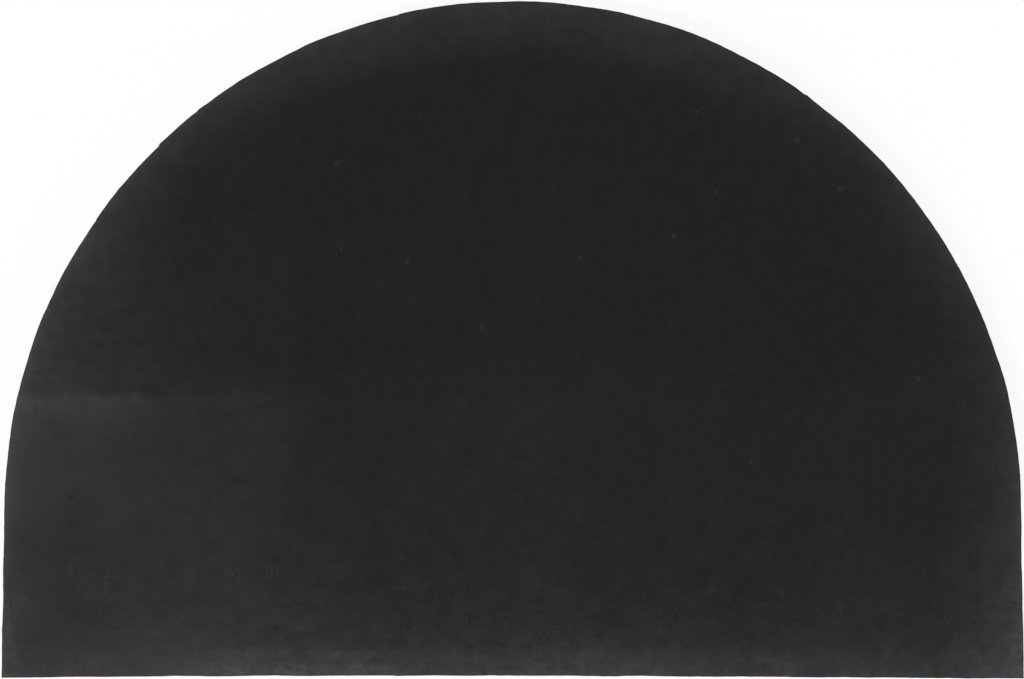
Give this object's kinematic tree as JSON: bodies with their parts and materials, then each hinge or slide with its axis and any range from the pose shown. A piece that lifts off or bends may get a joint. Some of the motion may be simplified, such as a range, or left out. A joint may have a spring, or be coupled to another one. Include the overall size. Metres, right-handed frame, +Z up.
{
  "type": "coir doormat",
  "caption": "Flat half-round doormat of shorn coir pile set in a black vinyl backing, lying pile side down with the backing uppermost.",
  "frame": {"origin": "on the surface that the mat lies on, under the middle of the box round its plan", "axes": "+X along the straight front edge, +Y from that edge towards the crown of the arch, +Z up, out of the backing's face"},
  "size_m": [0.755, 0.5002, 0.015],
  "materials": {
    "vinyl": "matte",
    "coir": "matte"
  },
  "bodies": {
    "root": {"vinyl_backing": "vinyl", "coir_pile": "coir"}
  },
  "joints": []
}
